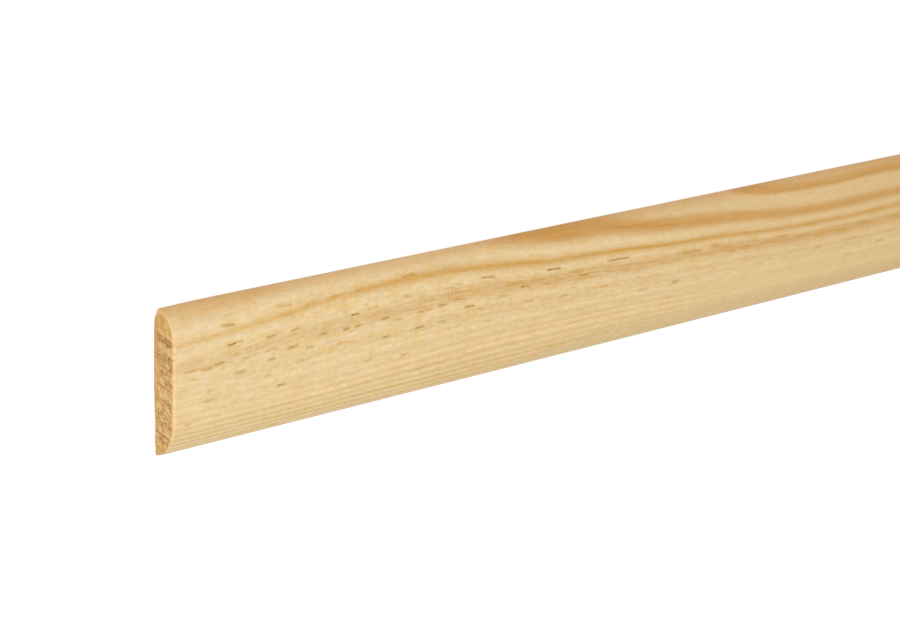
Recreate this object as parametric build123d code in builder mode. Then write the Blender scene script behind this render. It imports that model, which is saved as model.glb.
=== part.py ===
from build123d import *
import os

# A flat pine cover strip, planed from one length of solid wood. The back is flat, the face
# is flat along its middle, and both long edges are rounded over from the face down to a low
# nose, with the corner between nose and back eased. The ends are sawn square.
# It lies on its back with the face up: X runs along the strip, Y across it, and Z is the
# height above the back. The origin is the middle of the back.

# Driving dimensions, in millimetres
LENGTH = 1000.0
WIDTH = 30.0
THICKNESS = 6.0
NOSE_HEIGHT = 0.7  # height of each edge's outermost line above the back
EDGE_REACH = 7.5  # how far each rounded edge runs in across the face
BACK_EASING = 2.2  # how far each eased corner runs in across the back

# Sizes that follow from them
half_width = WIDTH / 2
edge_height = THICKNESS - NOSE_HEIGHT  # rise of the rounded edge from its nose to the face

# The strip is its section carried along the whole length. Half of the outline runs from
# the middle of the back, round one edge, to the middle of the face, and is then mirrored.
with BuildPart() as trim_strip:
    with BuildSketch(Plane.YZ.offset(-LENGTH / 2)):
        with BuildLine():
            easing_centre = (half_width - BACK_EASING, NOSE_HEIGHT)
            easing = EllipticalCenterArc(easing_centre, BACK_EASING, NOSE_HEIGHT, start_angle=-90)
            Line((0, 0), easing @ 0)
            edge_centre = (half_width - EDGE_REACH, NOSE_HEIGHT)
            edge = EllipticalCenterArc(edge_centre, EDGE_REACH, edge_height, start_angle=0)
            Line(edge @ 1, (0, THICKNESS))
            mirror(about=Plane.YZ)
        make_face()
    extrude(amount=LENGTH)

trim_strip.part.label = "trim_strip"

os.makedirs("parts", exist_ok=True)
export_step(trim_strip.part, "parts/trim_strip.step")
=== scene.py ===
import math

import bmesh
import bpy
import numpy as np
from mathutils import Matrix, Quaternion, Vector


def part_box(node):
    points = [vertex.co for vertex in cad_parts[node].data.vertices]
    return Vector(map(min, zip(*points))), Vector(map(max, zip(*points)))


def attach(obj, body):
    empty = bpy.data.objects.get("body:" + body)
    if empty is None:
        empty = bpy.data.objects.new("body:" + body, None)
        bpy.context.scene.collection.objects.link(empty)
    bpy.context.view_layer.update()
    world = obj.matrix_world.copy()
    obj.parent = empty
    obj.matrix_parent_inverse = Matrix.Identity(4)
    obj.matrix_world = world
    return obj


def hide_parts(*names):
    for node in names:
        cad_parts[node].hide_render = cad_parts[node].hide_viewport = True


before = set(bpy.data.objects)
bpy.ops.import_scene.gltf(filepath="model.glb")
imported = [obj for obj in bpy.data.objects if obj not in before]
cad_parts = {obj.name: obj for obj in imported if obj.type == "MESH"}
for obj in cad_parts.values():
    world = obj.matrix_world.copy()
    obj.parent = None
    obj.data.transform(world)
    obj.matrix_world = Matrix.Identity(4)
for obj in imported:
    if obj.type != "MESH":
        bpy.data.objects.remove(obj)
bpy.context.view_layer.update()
scene = bpy.context.scene
scene.view_settings.view_transform = "Standard"


# Camera
# A long lens looks down on the near end of the strip. It is turned on its side, so that the strip
# runs to the right with its width upright in the picture.
CAMERA_PLACE = Vector((-0.88108, 0.15503, 0.43057))
CAMERA_AIM = Vector((-0.42109, 0.00179, 0.00602))
CAMERA_ROLL = math.radians(103.856)
CAMERA_LENS = 120.353  # millimetres, as is the next
SENSOR_WIDTH = 36
NEAREST_SEEN = 0.01

camera = bpy.data.objects.new("camera", bpy.data.cameras.new("camera"))
camera.data.sensor_width = SENSOR_WIDTH
camera.data.sensor_fit = "HORIZONTAL"
camera.data.lens = CAMERA_LENS
camera.data.clip_start = NEAREST_SEEN
camera.location = CAMERA_PLACE
camera.rotation_mode = "QUATERNION"
level_view = (CAMERA_AIM - CAMERA_PLACE).to_track_quat("-Z", "Y")
camera.rotation_quaternion = level_view @ Quaternion((0, 0, 1), CAMERA_ROLL)
scene.collection.objects.link(camera)
scene.camera = camera


# Trim strip
# One length of pine, planed to a flat back, a flat face and two rounded long edges, and sawn square
# at both ends. The planed faces are bare wood; the sawn ends are torn and rough, inside a worn corner.
# Lengths here are in millimetres: x from the near end, y from the middle line and z from the back.
MM = 0.001
low_corner, high_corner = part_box("trim_strip")
length, width, thickness = np.round((high_corner - low_corner) / MM, 3)
half_width = width / 2

NOSE_HEIGHT = 0.7  # of the outermost line of each long edge
EDGE_REACH = 7.5  # of each rounded edge, in across the face
BACK_EASING = 2.2  # of each eased corner, in across the back
FACE_CORNER = 0.45  # how far along the strip the worn corner of a sawn end reaches, on the face
BACK_CORNER = 0.7  # and on the back
FACE_WEAR = (  # place across the strip, depth worn off there
    (-15, 0.03), (-12, 0.2), (-8, 0.4), (-4, 0.5), (0, 0.35), (9, 0.35), (13, 0.4), (15, 0.7),
)
BACK_WEAR = (
    (-15, 0.03), (-14.3, 0.4), (-9, 0.42), (-4, 0.15), (0, 0.0), (11, 0.0), (12.5, 0.12),
    (13.6, 0.3), (14.5, 0.55), (15, 0.7),
)
WEAR_POWER = 4  # the wear draws the section in sideways by this power of the place across it
NOSE_BLEND = 0.8  # width over which the two wears run together at each nose
KNOCK_START = 11.0  # place across the strip where the longer wear of the upper edge begins
KNOCK_REACH = 16.0  # of that wear along the strip, from a sawn end
KNOCK_DEPTH = 0.22
TORN_DEPTH = 0.16  # of the deepest fibres torn out of a sawn end
TORN_MEAN, TORN_SPREAD = 0.45, 0.3  # of the torn depth, as parts of the deepest
TORN_PASSES = (1, 4)  # of smoothing, across the strip and from back to face
TORN_FADE = 1.5  # width over which the torn fibres fade out at each nose
TORN_RISE = 6  # how steeply they rise inwards from the back and from the face
END_SEED = 21

FLAT_STEPS = 68  # grid columns across the flat of the face
EDGE_STEPS = 24  # grid columns over each rounded edge
CORNER_STEPS = 5  # grid rows round a worn corner
CLOSE_ROWS = (0.5, 0.7, 1.0, 1.7, 2.6, 3.7)  # grid rows beside each end
ROW_STEP = 5.0  # between the other grid rows along the strip
END_LAYERS = 26  # grid rows of a sawn end, from back to face


def columns_across():
    """Places across the strip: even steps over the flat, and even turns over each quarter ellipse."""
    turn = np.linspace(0, np.pi / 2, EDGE_STEPS + 1)[1:]
    flat_half = half_width - EDGE_REACH
    edge = flat_half + EDGE_REACH * np.sin(turn)
    return np.concatenate([-edge[::-1], np.linspace(-flat_half, flat_half, FLAT_STEPS + 1), edge])


def rows_along():
    """Places along the strip: even turns round each worn corner, a few close rows, and even steps."""
    turn = np.linspace(0, np.pi / 2, CORNER_STEPS + 1)
    beside_end = np.concatenate([FACE_CORNER * (1 - np.cos(turn)), CLOSE_ROWS])
    return np.concatenate([beside_end, np.arange(ROW_STEP, length, ROW_STEP), length - beside_end[::-1]])


def back_and_face(y):
    """Heights of the back and of the face. Each is level in the middle and runs out to the nose as a
    quarter ellipse: the back over its easing, the face over its rounded edge."""
    past_back = np.clip((abs(y) - half_width + BACK_EASING) / BACK_EASING, 0, 1)
    past_flat = np.clip((abs(y) - half_width + EDGE_REACH) / EDGE_REACH, 0, 1)
    back = NOSE_HEIGHT * (1 - np.sqrt(1 - past_back**2))
    face = NOSE_HEIGHT + (thickness - NOSE_HEIGHT) * np.sqrt(1 - past_flat**2)
    return back, face


def soft_noise(shape, passes, seed):
    """Seeded noise on a grid, averaged with its neighbours a number of times along each axis, with a
    spread of one."""
    noise = np.random.default_rng(seed).normal(size=shape)
    for axis, times in enumerate(passes):
        for _ in range(times):
            noise = (np.roll(noise, 1, axis) + 2 * noise + np.roll(noise, -1, axis)) / 4
    return noise / noise.std()


across = columns_across()
along = rows_along()


def strip_points(x, y, layer):
    """The section carried along the strip, where layer 0 is the back and 1 the face. Round an end the
    section is drawn in as deep as the wear there: on the face by a quarter ellipse, on the back by a
    straight slope, and half by each at the nose. Along the upper edge a longer slope runs out as a
    square."""
    back, face = back_and_face(y)
    z = back + layer * (face - back)
    from_end = np.minimum(x, length - x)
    worn_back, worn_face = (np.interp(y, *np.transpose(wear)) for wear in (BACK_WEAR, FACE_WEAR))
    worn_face = worn_face * (1 - np.sqrt(1 - np.clip(1 - from_end / FACE_CORNER, 0, 1) ** 2))
    worn_back = worn_back * np.clip(1 - from_end / BACK_CORNER, 0, 1)
    face_share = 0.5 + (layer - 0.5) * np.clip((half_width - abs(y)) / NOSE_BLEND, 0, 1)
    inset = worn_back + face_share * (worn_face - worn_back)
    near_edge = np.clip((y - KNOCK_START) / (half_width - KNOCK_START), 0, 1)
    knocked = near_edge**2 * np.clip(1 - from_end / KNOCK_REACH, 0, 1) ** 2
    drawn_in = inset * (abs(y) / half_width) ** WEAR_POWER + KNOCK_DEPTH * knocked
    sideways = y - np.sign(y) * drawn_in
    return np.stack(np.broadcast_arrays(x, sideways, z + inset * (1 - 2 * z / thickness)), -1)


def sawn_end(x, inward, seed):
    """A sawn end: the section filled from back to face. Soft noise, drawn out from back to face, sinks
    into it as torn fibres, and fades to nothing at the outline."""
    layer = np.linspace(0, 1, END_LAYERS + 1)
    points = strip_points(x, across[:, None], layer[None])
    fade = np.minimum(1, TORN_RISE * layer * (1 - layer))
    fade = fade * np.minimum(1, (half_width - abs(across[:, None])) / TORN_FADE)
    torn = np.clip(TORN_MEAN + TORN_SPREAD * soft_noise(points.shape[:2], TORN_PASSES, seed), 0, 1)
    points[..., 0] += inward * TORN_DEPTH * fade * torn
    return points


def girth(heights):
    """Distance round the section from the lower nose, as a running sum of short chords."""
    return np.concatenate([[0], np.cumsum(np.hypot(np.diff(across), np.diff(heights)))])


# The surface is a set of grids that meet edge to edge: lengths of the face and of the back, and the
# two ends. On the texture map the lengths lie in rows above each other, and the ends stand beside them.
# Each grid has two masks: sawn is 1 on torn end grain, and arris is 1 on the worn corner round it.
MAP_LENGTHS = 4
MAP_GAP = 1.3
ARRIS_ON_END = 0.65  # how far the worn corner's look reaches in over the sawn end, from the face
ARRIS_ON_FACE = 0.6  # and how far along the strip
BACK_RIM = 0.15  # width of the clean edge of a sawn end at the back
back_heights, face_heights = back_and_face(across)
face_girth, back_girth = girth(face_heights), girth(back_heights)
map_length = length / MAP_LENGTHS
map_side = MAP_LENGTHS * (face_girth[-1] + back_girth[-1] + 2 * MAP_GAP) + MAP_GAP

patches = []  # points, their place on the map, sawn, arris, and whether the grid faces the other way
map_foot = MAP_GAP
for part in range(MAP_LENGTHS):
    rows = along[(along >= part * map_length) & (along <= (part + 1) * map_length)]
    corner = np.clip(1 - np.minimum(rows, length - rows) / ARRIS_ON_FACE, 0, 1)[:, None]
    for layer, sheet_girth, arris, turned in ((1.0, face_girth, 1.0, False), (0.0, back_girth, 0.0, True)):
        sheet = strip_points(rows[:, None], across[None], layer)
        on_map = np.meshgrid(MAP_GAP + rows - rows[0], map_foot + sheet_girth, indexing="ij")
        plain = np.zeros(sheet.shape[:2])
        patches.append((sheet, np.stack(on_map, -1), plain, plain + arris * corner, turned))
        map_foot += sheet_girth[-1] + MAP_GAP
for x, inward, left, turned in ((0.0, 1, 0, True), (length, -1, thickness + MAP_GAP, False)):
    end = sawn_end(x, inward, seed=END_SEED + turned)
    on_map = (map_length + 2 * MAP_GAP + left + end[..., 2], MAP_GAP + half_width + end[..., 1])
    to_back, to_face = end[..., 2] - end[:, :1, 2], end[:, -1:, 2] - end[..., 2]
    sawn = np.clip(np.minimum(to_back / BACK_RIM, to_face / ARRIS_ON_END), 0, 1)
    arris = np.clip(2 - 2 * to_face / ARRIS_ON_END, 0, 1)
    patches.append((end, np.stack(on_map, -1), sawn, arris, turned))


# The growth rings cross the strip almost square to its face. They lean a little, and along the strip
# they spread and close about a line low on it, with shorter swells of their own low down and high up.
# A swell is its place along the strip, its half length and its push.
RING_LEAN = -0.3  # sideways, for each millimetre up from the back
SPREAD_FOOT = -13.0  # the line that the rings spread from
SPREAD_SWELLS = (
    (0, 12, -0.02), (66, 36, 0.172), (65, 21, -0.041), (112, 13, -0.02), (148, 15, -0.02),
    (183, 18, 0.01), (205, 50, -0.172), (222, 25, 0.012), (290, 70, -0.2), (430, 60, 0.09),
    (560, 70, -0.12), (690, 60, 0.1), (820, 65, -0.14), (950, 60, 0.08),
)
LOW_MIDDLE, LOW_REACH = -6.5, 7.5  # where the lower swells are strongest, and how far they reach
LOW_SWELLS = (
    (45, 30, -0.35), (118, 45, 1.25), (250, 40, -0.3), (360, 50, 0.8), (470, 45, -0.6), (610, 60, 0.9),
    (760, 50, -0.7), (890, 45, 0.7),
)
TOP_FOOT, TOP_RISE = 15.0, 3.0  # ring height where the upper swells begin, and how soon they are full
TOP_SWELLS = ((188, 14, -0.65), (236, 18, 0.4))


def swelling(x, swells):
    """A sum of bell curves along the strip, one for each swell."""
    return sum(push * np.exp(-(((x - middle) / half) ** 2)) for middle, half, push in swells)


def ring_height(x, y, z):
    """Height of a point's growth ring where nothing pushes it: the point's own height less the lean,
    drawn together about the foot as far as the rings are spread there, less the lower and the upper
    swells."""
    upright = y - RING_LEAN * (z - thickness)
    gathered = SPREAD_FOOT + (upright - SPREAD_FOOT) / (1 + swelling(x, SPREAD_SWELLS))
    low = np.clip(1 - abs(upright - LOW_MIDDLE) / LOW_REACH, 0, 1)
    top = np.clip((gathered - TOP_FOOT) / TOP_RISE, 0, 1)
    return gathered - low * swelling(x, LOW_SWELLS) - top * swelling(x, TOP_SWELLS)


WELD_REACH = 1e-7  # metres


def mesh_of_patches(name, patches):
    """One closed mesh of all the grids, in metres about the middle of the back, with the texture map, the
    ring height of each point and its two masks."""
    points = np.concatenate([grid.reshape(-1, 3) for grid, *_ in patches])
    quads, maps, first = [], [], 0
    for grid, on_map, _, _, turned in patches:
        number = np.arange(grid[..., 0].size).reshape(grid.shape[:2])
        corners = np.stack([number[:-1, :-1], number[1:, :-1], number[1:, 1:], number[:-1, 1:]], -1)
        corners = corners.reshape(-1, 4)[:, ::-1] if turned else corners.reshape(-1, 4)
        quads.append(first + corners)
        maps.append(on_map.reshape(-1, 2)[corners])
        first += number.size
    mesh = bpy.data.meshes.new(name)
    mesh.from_pydata((points - (length / 2, 0, 0)) * MM, [], np.concatenate(quads))
    mesh.uv_layers.new(name="OFBake").data.foreach_set("uv", np.concatenate(maps).ravel() / map_side)
    values = {
        "ring_height": ring_height(*points.T),
        "sawn": np.concatenate([patch[2].ravel() for patch in patches]),
        "arris": np.concatenate([patch[3].ravel() for patch in patches]),
    }
    for label, value in values.items():
        mesh.attributes.new(label, "FLOAT", "POINT").data.foreach_set("value", value.astype(np.float32))
    welded = bmesh.new()
    welded.from_mesh(mesh)
    bmesh.ops.remove_doubles(welded, verts=welded.verts, dist=WELD_REACH)
    welded.to_mesh(mesh)
    welded.free()
    mesh.polygons.foreach_set("use_smooth", np.ones(len(mesh.polygons), bool))
    return mesh


strip = bpy.data.objects.new("trim_strip_pine", mesh_of_patches("trim_strip_pine", patches))
scene.collection.objects.link(strip)


# Pine. A growth ring is pale early wood with a line of orange late wood. The rings are wide in the
# upper half, and close and faint in the lower one. On the sawn ends their lines are thin and dark.
# In the values below, a ramp is where it starts and ends and, unless they are 0 and 1, its two levels.
# A blotch noise is its size along each axis, the noise values it is stretched between, and its levels.
def colour(red, green, blue):
    """A colour as it shows on a screen, from 0 to 255, in the linear values that shaders take."""
    screen = np.array([red, green, blue]) / 255
    linear = np.where(screen <= 0.04045, screen / 12.92, ((screen + 0.055) / 1.055) ** 2.4)
    return (*linear, 1)


def add_node(tree, kind, inputs, **settings):
    """A new node. Each input is a plain value or another node's output."""
    node = tree.nodes.new(kind)
    for name, value in settings.items():
        setattr(node, name, value)
    for name, value in inputs.items():
        if isinstance(value, bpy.types.NodeSocket):
            tree.links.new(value, node.inputs[name])
        else:
            node.inputs[name].default_value = value
    return node


def reckon(tree, operation, *values):
    """The result of a sum on values or node outputs."""
    return add_node(tree, "ShaderNodeMath", dict(enumerate(values)), operation=operation).outputs[0]


def reckon_places(tree, operation, *values):
    """The result of a sum on places."""
    return add_node(tree, "ShaderNodeVectorMath", dict(enumerate(values)), operation=operation).outputs[0]


def distance(tree, operation, *places):
    """A place's length, or the distance between two places."""
    node = add_node(tree, "ShaderNodeVectorMath", dict(enumerate(places)), operation=operation)
    return node.outputs["Value"]


def ramp(tree, value, start, end, low=0.0, high=1.0):
    """The value taken smoothly from the range start to end into the range low to high."""
    inputs = {"Value": value, "From Min": start, "From Max": end, "To Min": low, "To Max": high}
    return add_node(tree, "ShaderNodeMapRange", inputs, interpolation_type="SMOOTHSTEP").outputs[0]


def curve(tree, value, points):
    """The value read off straight lines between points, which both run from 0 to 1."""
    node = add_node(tree, "ShaderNodeFloatCurve", {"Value": value})
    line = node.mapping.curves[0].points
    while len(line) < len(points):
        line.new(0.5, 0.5)
    for spot, place in zip(line, points):
        spot.location = place
        spot.handle_type = "VECTOR"
    node.mapping.update()
    return node.outputs[0]


def in_steps(tree, place, size):
    """A place counted in steps of the given size along each axis."""
    return reckon_places(tree, "MULTIPLY", place, [1 / step for step in size])


def noise(tree, place, size, detail=2.0):
    """Noise from 0 to 1 with blotches of about the given size along each axis."""
    inputs = {"Vector": in_steps(tree, place, size), "Scale": 1.0, "Detail": detail}
    return add_node(tree, "ShaderNodeTexNoise", inputs).outputs["Fac"]


def sway(tree, noise_value, depth):
    """A noise moved so that it varies by half the depth to either side of 0."""
    return reckon(tree, "MULTIPLY_ADD", noise_value, depth, -depth / 2)


def blotchy(tree, place, size, contrast, levels, detail=2.0):
    """A blotch noise: noise stretched between two of its values and taken to two levels."""
    return ramp(tree, noise(tree, place, size, detail), *contrast, *levels)


def mix(tree, factor, first, second, kind="MIX"):
    """Two colours mixed by a factor."""
    inputs = {0: factor, 6: first, 7: second}
    return add_node(tree, "ShaderNodeMix", inputs, data_type="RGBA", blend_type=kind).outputs[2]


# Across a line its colour fades from the middle, at 0, to its foot, at 1. A band stays full for longer.
LINE_FADE = ((1.0, 0.0), (0.55, 0.25), (0.2, 0.85), (0.0, 1.0))
BAND_FADE = ((1.0, 0.0), (0.75, 0.2), (0.35, 0.85), (0.0, 1.0))


def ring_lines(tree, ring, rings, fade=LINE_FADE):
    """Strength of the ring lines at a ring height: each line rises from nothing to its strength and falls
    to nothing again by the points of its fade."""
    top, foot = rings[0][0] + rings[0][1], rings[-1][0] - rings[-1][2]
    heights = []
    for height, above, below, strength in rings:
        heights += [(height + part * above, level * strength) for part, level in fade]
        heights += [(height - part * below, level * strength) for part, level in fade[-2::-1]]
    down = reckon(tree, "DIVIDE", reckon(tree, "SUBTRACT", top, ring), top - foot)
    return curve(tree, down, [((top - height) / (top - foot), level) for height, level in heights])


pine = bpy.data.materials.new("pine")
pine.use_nodes = True
tree = pine.node_tree
tree.nodes.clear()

object_place = add_node(tree, "ShaderNodeTexCoord", {}).outputs["Object"]
place = reckon_places(tree, "MULTIPLY_ADD", object_place, [1 / MM] * 3, (length / 2, 0, 0))
place_x, place_y, place_z = add_node(tree, "ShaderNodeSeparateXYZ", {0: place}).outputs
plain_ring, sawn, arris = (
    add_node(tree, "ShaderNodeAttribute", {}, attribute_name=name).outputs["Fac"]
    for name in ("ring_height", "sawn", "arris")
)
grain = add_node(tree, "ShaderNodeCombineXYZ", {0: place_x, 1: plain_ring, 2: place_z}).outputs[0]
part_along = reckon(tree, "DIVIDE", place_x, length)


# Late wood. A ring is its line's height, how far the line fades upwards and downwards, and its strength.
# Along the strip, from 0 to 1, the lines grow and fade by a curve. They waver slowly, and the middle
# ones are ragged with fibres and drop lower in places.
BAND_RINGS = (
    (26.5, 2.0, 2.0, 0.6), (22.6, 2.2, 2.0, 0.62), (19.3, 1.5, 1.1, 0.95), (13.2, 2.3, 2.45, 0.95),
    (8.4, 1.8, 1.8, 0.22),
)
BAND_STRENGTH = (
    (0, 0.25), (0.012, 0.35), (0.03, 0.5), (0.06, 0.7), (0.09, 1), (0.14, 1), (0.2, 0.9), (0.3, 0.9),
    (0.45, 0.7), (0.6, 1), (0.8, 0.8), (1, 0.95),
)
LINE_RINGS = ((17.3, 0.8, 0.8, 0.2), (8.4, 1.15, 1.15, 1.0))
LINE_STRENGTH = (
    (0, 0.46), (0.015, 0.5), (0.045, 0.63), (0.075, 0.8), (0.1, 0.88), (0.15, 0.9), (0.19, 0.7),
    (0.25, 0.68), (0.4, 0.7), (0.6, 1), (0.8, 0.8), (1, 0.9),
)
MIDDLE_RINGS = ((5.0, 1.8, 2.4, 0.75), (0.8, 1.0, 0.8, 0.2))
MIDDLE_STRENGTH = (
    (0, 0.4), (0.04, 0.45), (0.08, 0.75), (0.15, 0.8), (0.2, 1), (0.3, 1), (0.5, 0.6), (0.7, 1),
    (0.85, 0.6), (1, 0.9),
)
MIDDLE_DROP = (
    (0, 1), (0.065, 1), (0.085, 0.4), (0.15, 0.4), (0.16, 0.05), (0.5, 0.1), (0.6, 0.8), (0.75, 0.2),
    (1, 0.6),
)
MIDDLE_DROP_DEPTH = 1.5
CLOSE_RINGS = (
    (-1.2, 0.6, 0.6, 0.25), (-2.6, 0.6, 0.6, 0.25), (-4.4, 0.7, 0.7, 0.25), (-6.2, 0.7, 0.6, 0.4),
    (-7.6, 0.7, 0.7, 0.55),
)
CLOSE_STRENGTH = (
    (0, 0.66), (0.05, 0.7), (0.065, 0.9), (0.085, 1), (0.13, 1), (0.155, 0.9), (0.17, 0.5), (0.2, 0.15),
    (0.23, 0.12), (0.3, 0.35), (0.4, 0.8), (0.6, 0.6), (0.8, 0.8), (1, 0.7),
)
LOWEST_RINGS = (
    (-9.05, 0.7, 0.6, 0.7), (-10.35, 0.6, 0.6, 0.6), (-11.55, 0.6, 0.55, 0.75), (-12.7, 0.55, 0.55, 0.7),
    (-13.8, 0.5, 0.5, 0.6), (-15.0, 0.5, 0.5, 0.6),
)
LOWEST_STRENGTH = (
    (0, 0.87), (0.06, 0.85), (0.08, 0.85), (0.09, 0.8), (0.11, 0.7), (0.13, 0.65), (0.15, 0.5),
    (0.17, 0.36), (0.2, 0.18), (0.24, 0.18), (0.3, 0.4), (0.4, 0.8), (0.6, 0.6), (0.8, 0.8), (1, 0.7),
)
WAVER_SIZE, WAVER_DEPTH = (26, 8, 8), 0.7
RAGGED_SIZE, RAGGED_DEPTH = (7, 0.4, 0.4), 0.5
SOLID = ((14, 0.8, 0.8), (0.3, 0.7), (0.85, 1.1))
STREAKY = ((9, 0.5, 0.5), (0.36, 0.64), (0.5, 1.3))
UNEVEN = ((24, 0.9, 3), (0.33, 0.67), (0.6, 1.1))

waver = sway(tree, noise(tree, grain, WAVER_SIZE, detail=1), WAVER_DEPTH)
ragged = sway(tree, noise(tree, grain, RAGGED_SIZE), RAGGED_DEPTH)
ring = reckon(tree, "ADD", plain_ring, waver)
ragged_ring = reckon(tree, "ADD", ring, ragged)
solid, streaky, uneven = (blotchy(tree, grain, *kind) for kind in (SOLID, STREAKY, UNEVEN))


def lines_along(ring, rings, strength, broken, fade=LINE_FADE):
    """Ring lines with their strength along the strip, broken up by a noise."""
    lines = ring_lines(tree, ring, rings, fade)
    steady = reckon(tree, "MULTIPLY", lines, curve(tree, part_along, strength))
    return reckon(tree, "MULTIPLY", steady, broken)


bands = lines_along(ring, BAND_RINGS, BAND_STRENGTH, solid, BAND_FADE)
thin_lines = lines_along(ring, LINE_RINGS, LINE_STRENGTH, solid)
drop = curve(tree, part_along, MIDDLE_DROP)
dropped_ring = reckon(tree, "MULTIPLY_ADD", drop, MIDDLE_DROP_DEPTH, ragged_ring)
middle_lines = lines_along(dropped_ring, MIDDLE_RINGS, MIDDLE_STRENGTH, streaky, BAND_FADE)
close_lines = lines_along(ring, CLOSE_RINGS, CLOSE_STRENGTH, uneven)
lowest_lines = lines_along(ring, LOWEST_RINGS, LOWEST_STRENGTH, uneven)
close_lines = reckon(tree, "MAXIMUM", close_lines, lowest_lines)


# The wood is uneven in tone: long streaks, short fibres, a small mottle, and faint marks across the grain
# from the planing. The fine tones are calmer at the top, and change in strength along the strip.
STREAK_SIZE, STREAK_DEPTH = (18, 0.6, 0.6), 0.09
FIBRE_SIZE, FIBRE_DEPTH = (2.2, 0.28, 0.28), 0.3
MOTTLE_SIZE, MOTTLE_DEPTH = (1.4, 0.8, 0.8), 0.2
MARK_SIZE, MARK_DEPTH = (0.45, 2.2, 2.2), 0.11
CALM_RINGS = (8.5, 10.0, 1.0, 0.72)
FINE_STRENGTH = ((0, 1), (0.1, 1), (0.17, 0.75), (0.25, 0.6), (0.35, 0.8), (0.6, 1), (0.8, 0.8), (1, 1))

streaks = noise(tree, grain, STREAK_SIZE)
fibres = noise(tree, grain, FIBRE_SIZE)
mottle = noise(tree, grain, MOTTLE_SIZE)
marks = noise(tree, grain, MARK_SIZE, detail=1)
fine = 0.0
for tone, depth in ((fibres, FIBRE_DEPTH), (mottle, MOTTLE_DEPTH), (marks, MARK_DEPTH)):
    fine = reckon(tree, "ADD", fine, sway(tree, tone, depth))
fine = reckon(tree, "MULTIPLY", fine, ramp(tree, plain_ring, *CALM_RINGS))
fine_strength = curve(tree, part_along, FINE_STRENGTH)
light = reckon(tree, "ADD", 1.0, sway(tree, streaks, STREAK_DEPTH))
light = reckon(tree, "MULTIPLY_ADD", fine, fine_strength, light)


# Resin canals that the planing cut open show on the face as short brown dashes along the grain: a dark
# core, broken up along its length, in a stain. Each is its place along and across the strip, its length
# and its depth of colour. Some are wider and softer, and two lie aslant. In a few places the planing
# tore the wood across its grain. Faint stray canals, one to a cell, lie all through the wood.
RESIN_CANALS = (
    (112.6, 6.8, 7.5, 1.0), (90.8, 8.3, 7, 0.9), (134.8, 5.8, 13, 0.9), (67, 12.1, 7, 0.75),
    (15.3, 6.1, 2.5, 1.0), (17, 6.3, 3, 0.7), (103, 4.3, 4, 0.9), (123, 3.9, 4, 0.95), (50, 6.6, 3, 0.95),
    (59, 4.3, 3, 0.85), (76.5, 4.4, 3, 0.9), (81.5, 4.9, 4, 0.75), (71, 4.0, 7, 0.6), (69.5, 0.6, 4, 0.8),
    (76.5, 0.7, 3, 0.75), (12, 2.7, 3, 0.8), (8.5, 2.2, 4, 0.75), (4.2, 2.4, 4, 0.7), (32.3, 2.7, 4, 0.8),
    (40.8, 4.0, 3, 0.75), (47.5, 3.9, 2, 0.9), (51, 4.0, 1.5, 0.8), (26.2, 1.1, 2, 0.8),
    (28.9, -4.7, 2.5, 0.85), (59.5, 0.2, 2.5, 0.8), (85, 2.7, 4, 0.9), (104.5, 0.7, 4, 0.7),
    (17.5, 0.0, 4, 0.7), (110, 3.9, 4, 0.65), (26, 5.9, 3, 0.75), (32.8, 6.3, 3, 0.75), (45, 11.1, 4, 0.5),
    (52, 11.3, 3, 0.65), (30.8, 9.7, 2, 0.7), (37.5, 10.9, 4, 0.5), (65.7, 7.9, 1.5, 0.65),
    (78.5, 7.8, 4, 0.55), (55.5, 7.2, 4, 0.5), (19, 2.5, 1.5, 0.6), (26.5, 3.1, 4, 0.6), (37.2, 1.7, 3, 0.65),
    (46.5, 1.1, 4, 0.5), (63, 3.4, 3, 0.5), (34.3, -0.7, 3, 0.6), (10, -2.4, 3, 0.5), (25.2, -2.1, 2, 0.6),
    (9.5, -4.3, 4, 0.6), (54, -4.0, 3, 0.55), (65.2, -4.6, 3, 0.6), (69.5, -8.5, 3, 0.55),
    (3.5, -8.3, 2, 0.6), (96, 3.3, 5, 0.55), (88.7, 1.6, 2, 0.5), (116, 0.2, 4, 0.55), (130, 0.2, 3, 0.5),
    (91, -1.5, 2, 0.5), (122, -3.8, 2, 0.5),
)
SOFT_CANALS = (
    (99.5, 5.6, 6, 0.6), (107, 5.3, 4, 0.5), (120.5, 5.0, 4, 0.55), (144, -2.7, 3, 0.5),
    (155.7, -2.7, 2, 0.75), (162, 3.6, 9, 0.66), (170.7, 3.9, 3, 0.72), (177, 1.7, 3, 0.66),
    (196.3, 2.4, 4, 0.7), (212.5, 0.5, 4, 0.7), (221.5, 0.3, 4, 0.7), (208.5, 4.0, 7, 0.68),
    (235, 4.0, 12, 0.66), (211, -2.3, 3, 0.45), (226, -2.3, 4, 0.45), (243, -2.4, 4, 0.4),
    (238, -4.6, 4, 0.4), (225, -6.0, 4, 0.35),
)
SLANTED_CANALS = ((14.5, 10.1, 5.5, 0.85), (30.5, 11.5, 6, 0.6))
TEAR_MARKS = (  # place along and across the strip, height and depth of colour
    (79.6, 6.9, 2.2, 0.8), (80.6, 6.8, 2.4, 0.85), (81.6, 6.9, 2.0, 0.75), (20.5, 4.6, 2.4, 0.45),
    (22.0, 4.5, 2.4, 0.4),
)
CANAL_HALF_WIDTH = 0.46  # with the stained wood beside it
SOFT_HALF_WIDTH = 0.85
TEAR_HALF_WIDTH = 0.4
CANAL_SLANT = 0.14  # of the slanted ones, downwards for each millimetre along the strip
CANAL_TAPER = 2.5  # length of a canal's pointed ends over its width
CANAL_FULL = 0.25  # half length of the part that is full, over the canal's length
CANAL_RAGGED = 0.8  # share of the ring lines' raggedness that a canal follows
WRIGGLE_SIZE, WRIGGLE_DEPTH = (1.3, 0.6, 0.6), 0.3
FACE_SIDE = (2.0, 3.0)  # height from the back where the listed canals begin to show
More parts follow.
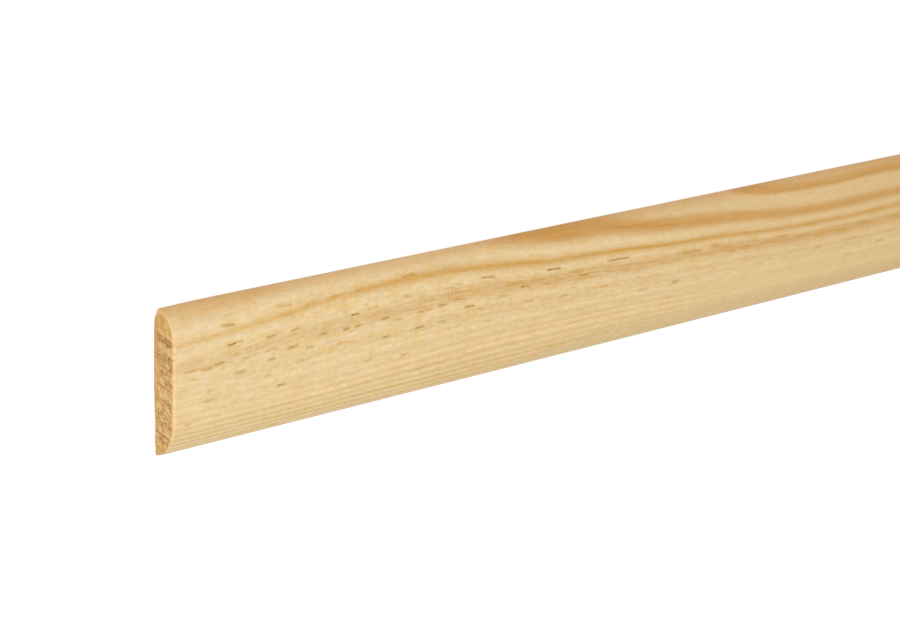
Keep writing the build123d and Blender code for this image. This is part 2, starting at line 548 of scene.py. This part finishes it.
STRAY_CELL = (5.5, 1.0, 2.2)
STRAY_RADIUS = (0.36, 0.05)  # in cells, from its edge to where it is full
STRAY_DEPTH = (0.4, 1.0, 0.0, 0.5)  # by a cell's own value
STRAY_LOW, STRAY_HIGH = (-7.0, -2.0), (7.5, 6.0)  # ring heights where the stray ones fade out
STAIN_GRIT = ((1.6, 0.5, 0.5), (0.3, 0.7), (0.5, 1.4))
STAIN_DEPTH = (0.0, 0.55, 0.0, 0.65)
CORE_BREAKS = (0.35, 0.65, 1.1, 0.85)
CORE_DEPTH = (0.5, 1.0, 0.0, 0.9)


def face_ring(x, y):
    """Ring height of a place on the face."""
    return ring_height(x, y, back_and_face(y)[1])


def dash(drawn_place, x, height, dash_length, dash_half, depth):
    """A dash about a short line along the grain: its depth on the line, and nothing past its half width.
    Along the strip, lengths are drawn in by the taper."""
    middle = np.array([x / CANAL_TAPER, height, 0])
    full = np.array([CANAL_FULL * dash_length / CANAL_TAPER, 0, 0])
    past_start = reckon_places(tree, "MAXIMUM", drawn_place, middle - full)
    nearest = reckon_places(tree, "MINIMUM", past_start, middle + full)
    away = distance(tree, "DISTANCE", drawn_place, nearest)
    return reckon(tree, "MULTIPLY_ADD", away, -depth / dash_half, depth)


def tear(x, height, tear_height, depth):
    """An upright ellipse: its depth in the middle, and nothing at its outline."""
    middle = np.array([x, height, 0])
    scale = np.array([1 / TEAR_HALF_WIDTH, 2 / tear_height, 0])
    away = distance(tree, "LENGTH", reckon_places(tree, "MULTIPLY_ADD", grain, scale, -middle * scale))
    return reckon(tree, "MULTIPLY_ADD", away, -depth, depth)


wriggle = noise(tree, grain, WRIGGLE_SIZE)
shaken_ring = reckon(tree, "MULTIPLY_ADD", ragged, CANAL_RAGGED, plain_ring)
shaken_ring = reckon(tree, "ADD", shaken_ring, sway(tree, wriggle, WRIGGLE_DEPTH))
drawn_x = reckon(tree, "DIVIDE", place_x, CANAL_TAPER)
canals = 0.0
for listed, slant, dash_half in (
    (RESIN_CANALS, 0.0, CANAL_HALF_WIDTH), (SOFT_CANALS, 0.0, SOFT_HALF_WIDTH),
    (SLANTED_CANALS, CANAL_SLANT, CANAL_HALF_WIDTH),
):
    slanted_ring = reckon(tree, "MULTIPLY_ADD", place_x, slant, shaken_ring)
    drawn_place = add_node(tree, "ShaderNodeCombineXYZ", {0: drawn_x, 1: slanted_ring}).outputs[0]
    for x, y, canal_length, depth in listed:
        canal = dash(drawn_place, x, face_ring(x, y) + slant * x, canal_length, dash_half, depth)
        canals = reckon(tree, "MAXIMUM", canals, canal)
for x, y, tear_height, depth in TEAR_MARKS:
    canals = reckon(tree, "MAXIMUM", canals, tear(x, face_ring(x, y), tear_height, depth))
canals = reckon(tree, "MULTIPLY", canals, ramp(tree, place_z, *FACE_SIDE))

cell_place = in_steps(tree, grain, STRAY_CELL)
cells = add_node(tree, "ShaderNodeTexVoronoi", {"Vector": cell_place, "Scale": 1.0})
cell_value = add_node(tree, "ShaderNodeSeparateColor", {0: cells.outputs["Color"]}).outputs[0]
stray = ramp(tree, cells.outputs["Distance"], *STRAY_RADIUS)
for value, limits in ((cell_value, STRAY_DEPTH), (plain_ring, STRAY_LOW), (plain_ring, STRAY_HIGH)):
    stray = reckon(tree, "MULTIPLY", stray, ramp(tree, value, *limits))
canals = reckon(tree, "MAXIMUM", canals, stray)
patchy = reckon(tree, "MULTIPLY", canals, blotchy(tree, grain, *STAIN_GRIT))
stain = ramp(tree, patchy, *STAIN_DEPTH)
core = reckon(tree, "MULTIPLY", canals, ramp(tree, wriggle, *CORE_BREAKS))
core = ramp(tree, core, *CORE_DEPTH)


# Planed wood. The early wood goes from pale to golden along the strip, with paler rings and yellower
# patches in it, a tint that multiplies it low down, and a tint that multiplies its upper part farther along.
# Farther along, the lower edge is also darkened by painted shade. The late wood and the canals lie over
# it, and the rounded upper edge is a deeper orange.
EARLY_WOOD, GOLDEN_WOOD = colour(236, 213, 170), colour(223, 194, 143)
GOLDEN = (
    (0, 0), (0.06, 0.15), (0.1, 0.4), (0.15, 0.5), (0.2, 0.75), (0.25, 1), (0.35, 0.9), (0.5, 0.4),
    (0.65, 0.7), (0.8, 0.3), (1, 0.6),
)
PALE_WOOD = colour(241, 215, 171)
PALE_RINGS = (
    (17.2, 1.0, 1.2, 0.4), (10.4, 0.8, 0.8, 0.4), (6.6, 0.9, 1.2, 0.35), (1.6, 0.8, 0.8, 0.4),
    (-3.0, 1.5, 1.5, 0.6), (-7.8, 2.6, 2.6, 0.6),
)
PALE_ALONG = (100, 190, 1.0, 0.5)
YELLOWER = (0.965, 0.85, 0.6, 1)
YELLOW_PATCHES = (((10, 1.5, 1.5), 0.45), ((4.5, 2.0, 2.0), 0.5), ((2.0, 0.6, 0.6), 0.55))  # size, depth
YELLOW_CONTRAST = (0.38, 0.68)
YELLOW_LOW, YELLOW_HIGH = (-6.0, 1.0, 0.55, 1.0), (8.5, 9.5, 1.0, 0.75)  # by ring height
LOW_TINT, LOW_RINGS = (1.0, 0.975, 0.92, 1), (0.0, -7.0)
# Painted shade: a grey multiply that darkens the lower edge farther along the strip.
FOOT_SHADE, FOOT_SHADE_ALONG, FOOT_SHADE_RINGS = (0.97, 0.96, 0.975, 1), (100, 140), (-8.5, -11.0)
UPPER_TINT, UPPER_ALONG, UPPER_RINGS = (0.975, 0.95, 0.915, 1), (140, 170), (1.0, 3.0)
BAND_WOOD = colour(202, 147, 70)
LINE_NEAR_WOOD, LINE_FAR_WOOD, LINE_ALONG = colour(213, 160, 46), colour(205, 153, 64), (20, 65)
MIDDLE_WOOD = colour(203, 154, 82)
CLOSE_WOOD = colour(207, 166, 92)
EDGE_WOOD, EDGE_ACROSS = colour(217, 152, 58), (12.6, 14.8, 0.0, 0.36)
STAIN_WOOD = colour(207, 158, 80)
CORE_WOOD = colour(136, 93, 46)

early = mix(tree, curve(tree, part_along, GOLDEN), EARLY_WOOD, GOLDEN_WOOD)
pale = ring_lines(tree, ring, PALE_RINGS)
early = mix(tree, reckon(tree, "MULTIPLY", pale, ramp(tree, place_x, *PALE_ALONG)), early, PALE_WOOD)
yellow_strength = reckon(tree, "MULTIPLY", ramp(tree, plain_ring, *YELLOW_LOW), fine_strength)
yellow_strength = reckon(tree, "MULTIPLY", yellow_strength, ramp(tree, plain_ring, *YELLOW_HIGH))
for size, depth in YELLOW_PATCHES:
    yellow = blotchy(tree, grain, size, YELLOW_CONTRAST, (0.0, depth))
    early = mix(tree, reckon(tree, "MULTIPLY", yellow, yellow_strength), early, YELLOWER, "MULTIPLY")
early = mix(tree, ramp(tree, plain_ring, *LOW_RINGS), early, LOW_TINT, "MULTIPLY")
# The first pair is painted shade on the lower edge farther along; the second is a tint of the upper part
# farther along.
for tint_and_shade, tint_and_shade_along, tint_and_shade_rings in (
    (FOOT_SHADE, FOOT_SHADE_ALONG, FOOT_SHADE_RINGS), (UPPER_TINT, UPPER_ALONG, UPPER_RINGS),
):
    tinted_and_shaded = reckon(tree, "MULTIPLY", ramp(tree, place_x, *tint_and_shade_along), ramp(tree, plain_ring, *tint_and_shade_rings))
    early = mix(tree, tinted_and_shaded, early, tint_and_shade, "MULTIPLY")

line_wood = mix(tree, ramp(tree, place_x, *LINE_ALONG), LINE_NEAR_WOOD, LINE_FAR_WOOD)
planed = early
for lines, late_wood in (
    (bands, BAND_WOOD), (thin_lines, line_wood), (middle_lines, MIDDLE_WOOD), (close_lines, CLOSE_WOOD),
    (ramp(tree, place_y, *EDGE_ACROSS), EDGE_WOOD),
):
    planed = mix(tree, lines, planed, late_wood)
planed = mix(tree, 1.0, planed, light, "MULTIPLY")
planed = mix(tree, stain, planed, STAIN_WOOD)
planed = mix(tree, core, planed, CORE_WOOD)


# On the sawn ends the cut fibres are torn into slanting strokes, pale and brown, with pinker patches. The
# ring lines are thin, between paler and browner rings. The wood is smoother and golden at the upper edge
# and at the foot, and the back leaves a clean rim, which is darker in its upper part with painted shade.
END_SLANT = 0.5  # of the strokes, upwards for each millimetre from the back
SPECKLE_SIZE, SPECKLE_SHARE = (2, 0.3, 0.3), 0.3
STROKE_SIZE, STROKE_SHARE = (0.45, 0.7, 2), 0.35
BLOTCH_SIZE, BLOTCH_SHARE = (1.5, 1.5, 2), 0.35
FIBRE_CONTRAST, PALE_FIBRE, BROWN_FIBRE = (0.38, 0.62), colour(246, 208, 146), colour(180, 122, 56)
PINK_PATCHES, PINK_FIBRE = ((2, 1.3, 1.0), (0.5, 0.68), (0.0, 0.35)), colour(222, 174, 130)
END_WAVER = 0.5
END_PALE_RINGS = ((6.4, 1.0, 0.9, 0.64), (-2.9, 1.2, 1.2, 0.32), (-6.0, 1.0, 1.2, 0.28))
END_PALE_WOOD = colour(236, 206, 156)
END_BROWN_RINGS = ((8.15, 1.0, 1.0, 0.8), (4.4, 1.4, 1.4, 0.3))
END_BROWN_WOOD = colour(194, 143, 90)
END_RINGS = (
    (20.1, 0.6, 0.4, 0.6), (13.1, 0.9, 0.5, 0.3), (8.65, 0.3, 0.25, 0.85), (7.75, 0.3, 0.35, 0.8),
    (5.2, 0.35, 0.3, 0.55), (4.5, 0.35, 0.3, 0.65), (3.8, 0.3, 0.4, 0.55), (2.6, 0.4, 0.4, 0.35),
    (1.4, 0.4, 0.4, 0.4), (0.2, 0.4, 0.4, 0.3), (-1.4, 0.4, 0.4, 0.35), (-4.4, 0.4, 0.4, 0.35),
    (-7.5, 0.4, 0.4, 0.4), (-9.05, 0.4, 0.4, 0.3), (-11.55, 0.4, 0.4, 0.4), (-12.7, 0.4, 0.4, 0.4),
)
END_BREAKS = ((2, 0.8, 1.6), (0.35, 0.65), (0.75, 1.1))
END_LINE_WOOD = colour(130, 84, 44)
SMOOTH_RINGS, SMOOTH_FOOT = (8.9, 9.6, 0.0, 0.85), (-11.5, -14.0, 0.0, 0.51)
SMOOTH_CONTRAST, SMOOTH_PALE, SMOOTH_GOLDEN = (0.35, 0.65), colour(225, 185, 116), colour(212, 166, 92)
RIM_HEIGHT, RIM_ACROSS = (1.3, 0.9), (-9.0, 0.0, 0.45, 0.8)
# Higher up, the rim turns from its own olive wood to a darker colour, which is painted shade.
RIM_SHADE_RISE, RIM_LOW_WOOD, RIM_SHADED_WOOD = (3.0, 8.0), colour(219, 183, 108), colour(204, 164, 104)
RIM_BLOTCHES, RIM_BLOTCH_WOOD = (0.4, 0.6, 0.0, 0.6), colour(208, 156, 92)

slanted_y = reckon(tree, "MULTIPLY_ADD", place_z, END_SLANT, place_y)
end_place = add_node(tree, "ShaderNodeCombineXYZ", {0: slanted_y, 1: place_z, 2: place_x}).outputs[0]
speckle = noise(tree, place, SPECKLE_SIZE)
strokes = noise(tree, end_place, STROKE_SIZE)
blotches = noise(tree, end_place, BLOTCH_SIZE)
rough = 0.0
for tone, share in ((speckle, SPECKLE_SHARE), (strokes, STROKE_SHARE), (blotches, BLOTCH_SHARE)):
    rough = reckon(tree, "MULTIPLY_ADD", tone, share, rough)
end_wood = mix(tree, ramp(tree, rough, *FIBRE_CONTRAST), PALE_FIBRE, BROWN_FIBRE)
end_wood = mix(tree, blotchy(tree, place, *PINK_PATCHES), end_wood, PINK_FIBRE)
wavy_ring = reckon(tree, "ADD", plain_ring, sway(tree, blotches, END_WAVER))
end_wood = mix(tree, ring_lines(tree, wavy_ring, END_PALE_RINGS), end_wood, END_PALE_WOOD)
end_wood = mix(tree, ring_lines(tree, wavy_ring, END_BROWN_RINGS), end_wood, END_BROWN_WOOD)
end_lines = ring_lines(tree, wavy_ring, END_RINGS)
end_lines = reckon(tree, "MULTIPLY", end_lines, blotchy(tree, grain, *END_BREAKS))
end_wood = mix(tree, end_lines, end_wood, END_LINE_WOOD)
smooth = reckon(
    tree, "MAXIMUM", ramp(tree, wavy_ring, *SMOOTH_RINGS), ramp(tree, place_y, *SMOOTH_FOOT),
)
smooth_wood = mix(tree, ramp(tree, blotches, *SMOOTH_CONTRAST), SMOOTH_PALE, SMOOTH_GOLDEN)
end_wood = mix(tree, smooth, end_wood, smooth_wood)
# Painted shade: the clean rim is darker higher up.
rim_and_shade_wood = mix(tree, ramp(tree, place_y, *RIM_SHADE_RISE), RIM_LOW_WOOD, RIM_SHADED_WOOD)
rim_and_shade_wood = mix(tree, ramp(tree, blotches, *RIM_BLOTCHES), rim_and_shade_wood, RIM_BLOTCH_WOOD)
rim = reckon(tree, "MULTIPLY", ramp(tree, place_z, *RIM_HEIGHT), ramp(tree, place_y, *RIM_ACROSS))
end_wood = mix(tree, rim, end_wood, rim_and_shade_wood)


# The worn corner round an end is pale and warm, partly where its fibres are rubbed and partly from a painted
# highlight along it, fainter low down. The torn end grain meets it in a ragged line.
EDGE_WAVER_SIZE, EDGE_WAVER_DEPTH = (0.7, 1.4, 2), 16.0
TORN_CONTRAST = (0.35, 0.65)
RUBBED_HIGHLIGHT = ((2, 0.7, 0.7), (0.34, 0.6), (0.4, 1.0))
RUBBED_HIGHLIGHT_LOWER, RUBBED_HIGHLIGHT_FOOT = (-9.0, 0.0, 0.6, 1.0), (-14.5, -12.0)  # by the place across the strip
RUBBED_HIGHLIGHT_EDGE = (0.75, 0.4)  # by the ragged line, from the torn side
# The pale and warm colours of the band are partly rubbed wood and partly a painted highlight.
RUBBED_HIGHLIGHT_MOTTLE, RUBBED_HIGHLIGHT_PALE, RUBBED_HIGHLIGHT_WARM = (0.42, 0.64), colour(250, 213, 152), colour(238, 186, 118)
RUBBED_HIGHLIGHT_TOP, RUBBED_HIGHLIGHT_TOP_WOOD = (10.0, 13.5), colour(240, 186, 122)

edge_waver = sway(tree, noise(tree, end_place, EDGE_WAVER_SIZE, detail=3), EDGE_WAVER_DEPTH)
near_line = reckon(tree, "MULTIPLY", sawn, reckon(tree, "SUBTRACT", 1.0, sawn))
torn_edge = reckon(tree, "MULTIPLY_ADD", near_line, edge_waver, sawn)
wood = mix(tree, ramp(tree, torn_edge, *TORN_CONTRAST), planed, end_wood)
# Painted highlight with rubbed wood: a pale band along the worn corner, fainter low down.
rubbed_highlight = reckon(tree, "MULTIPLY", arris, blotchy(tree, grain, *RUBBED_HIGHLIGHT, detail=3))
for value, limits in ((place_y, RUBBED_HIGHLIGHT_LOWER), (place_y, RUBBED_HIGHLIGHT_FOOT), (torn_edge, RUBBED_HIGHLIGHT_EDGE)):
    rubbed_highlight = reckon(tree, "MULTIPLY", rubbed_highlight, ramp(tree, value, *limits))
rubbed_highlight_wood = mix(tree, ramp(tree, mottle, *RUBBED_HIGHLIGHT_MOTTLE), RUBBED_HIGHLIGHT_PALE, RUBBED_HIGHLIGHT_WARM)
rubbed_highlight_wood = mix(tree, ramp(tree, place_y, *RUBBED_HIGHLIGHT_TOP), rubbed_highlight_wood, RUBBED_HIGHLIGHT_TOP_WOOD)
wood = mix(tree, rubbed_highlight, wood, rubbed_highlight_wood)


# The planed wood is a little rough, and the sawn ends more so. Relief is in millimetres.
PLANED_ROUGHNESS, STREAK_ROUGHNESS, SAWN_ROUGHNESS = 0.5, 0.16, 0.25
STREAK_RELIEF, FIBRE_RELIEF, CORE_RELIEF, SAWN_RELIEF = 0.02, 0.02, -0.04, -0.12
SPECULAR_LEVEL = 0.3

roughness = reckon(tree, "MULTIPLY_ADD", streaks, STREAK_ROUGHNESS, PLANED_ROUGHNESS)
roughness = reckon(tree, "MULTIPLY_ADD", sawn, SAWN_ROUGHNESS, roughness)
torn_relief = reckon(tree, "MULTIPLY", rough, sawn)
relief = 0.0
for tone, height in (
    (streaks, STREAK_RELIEF), (fibres, FIBRE_RELIEF), (core, CORE_RELIEF), (torn_relief, SAWN_RELIEF),
):
    relief = reckon(tree, "MULTIPLY_ADD", tone, height, relief)
bump = add_node(tree, "ShaderNodeBump", {"Height": relief, "Distance": MM, "Strength": 1.0})
shader = add_node(
    tree, "ShaderNodeBsdfPrincipled",
    {
        "Base Color": wood, "Roughness": roughness, "Normal": bump.outputs[0],
        "Specular IOR Level": SPECULAR_LEVEL,
    },
)
add_node(tree, "ShaderNodeOutputMaterial", {"Surface": shader.outputs[0]})
strip.data.materials.append(pine)

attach(strip, "root")
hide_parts("trim_strip")


# Floor
# A wide white board under the strip. The camera sees it lit a little from within, so that it is
# white like a studio ground, and it keeps a faint shadow of the strip.
FLOOR_HALF = 40.0
FLOOR_DROP = 0.0001  # below the strip's back
BOARD_GREY = (0.8, 0.8, 0.8, 1)
SEEN_GREY, SEEN_GLOW = (0.3, 0.3, 0.3, 1), 0.78
WHITE = (1, 1, 1, 1)


def seen_rays(tree):
    """1 for a ray that shows a thing, from the camera, in a reflection or through glass, and else 0."""
    rays = add_node(tree, "ShaderNodeLightPath", {})
    shown = reckon(tree, "MAXIMUM", rays.outputs["Is Camera Ray"], rays.outputs["Is Glossy Ray"])
    return reckon(tree, "MAXIMUM", shown, rays.outputs["Is Transmission Ray"])


corners = np.array([(-1, -1), (1, -1), (1, 1), (-1, 1)]) * FLOOR_HALF
floor_mesh = bpy.data.meshes.new("floor")
floor_mesh.from_pydata(np.column_stack([corners, np.full(4, -FLOOR_DROP)]), [], [(0, 1, 2, 3)])
floor = bpy.data.objects.new("floor", floor_mesh)
scene.collection.objects.link(floor)

white_board = bpy.data.materials.new("white_board")
white_board.use_nodes = True
tree = white_board.node_tree
tree.nodes.clear()
board = add_node(tree, "ShaderNodeBsdfDiffuse", {"Color": BOARD_GREY})
faint_board = add_node(tree, "ShaderNodeBsdfDiffuse", {"Color": SEEN_GREY})
glow = add_node(tree, "ShaderNodeEmission", {"Color": WHITE, "Strength": SEEN_GLOW})
seen = add_node(tree, "ShaderNodeAddShader", {0: faint_board.outputs[0], 1: glow.outputs[0]})
surface = add_node(
    tree, "ShaderNodeMixShader", {0: seen_rays(tree), 1: board.outputs[0], 2: seen.outputs[0]},
)
add_node(tree, "ShaderNodeOutputMaterial", {"Surface": surface.outputs[0]})
floor_mesh.materials.append(white_board)


# Studio light
# A large soft lamp stands on the camera's side, above the near end, and an even white room fills in.
LAMP_PLACE = Vector((-1.45, 0.3, 1.75))
LAMP_AIM = Vector((-0.35, 0.0, 0.0))
LAMP_SIZE = 1.6
LAMP_POWER = 25.5
ROOM_STRENGTH = 0.55
BACKDROP_STRENGTH = 1.0

lamp = bpy.data.objects.new("soft_lamp", bpy.data.lights.new("soft_lamp", "AREA"))
lamp.data.size = LAMP_SIZE
lamp.data.energy = LAMP_POWER
lamp.location = LAMP_PLACE
lamp.rotation_mode = "QUATERNION"
lamp.rotation_quaternion = (LAMP_AIM - LAMP_PLACE).to_track_quat("-Z", "Y")
scene.collection.objects.link(lamp)

room = bpy.data.worlds.new("room")
room.use_nodes = True
tree = room.node_tree
tree.nodes.clear()
lighting = add_node(tree, "ShaderNodeBackground", {"Color": WHITE, "Strength": ROOM_STRENGTH})
backdrop = add_node(tree, "ShaderNodeBackground", {"Color": WHITE, "Strength": BACKDROP_STRENGTH})
both = add_node(
    tree, "ShaderNodeMixShader", {0: seen_rays(tree), 1: lighting.outputs[0], 2: backdrop.outputs[0]},
)
add_node(tree, "ShaderNodeOutputWorld", {"Surface": both.outputs[0]})
scene.world = room
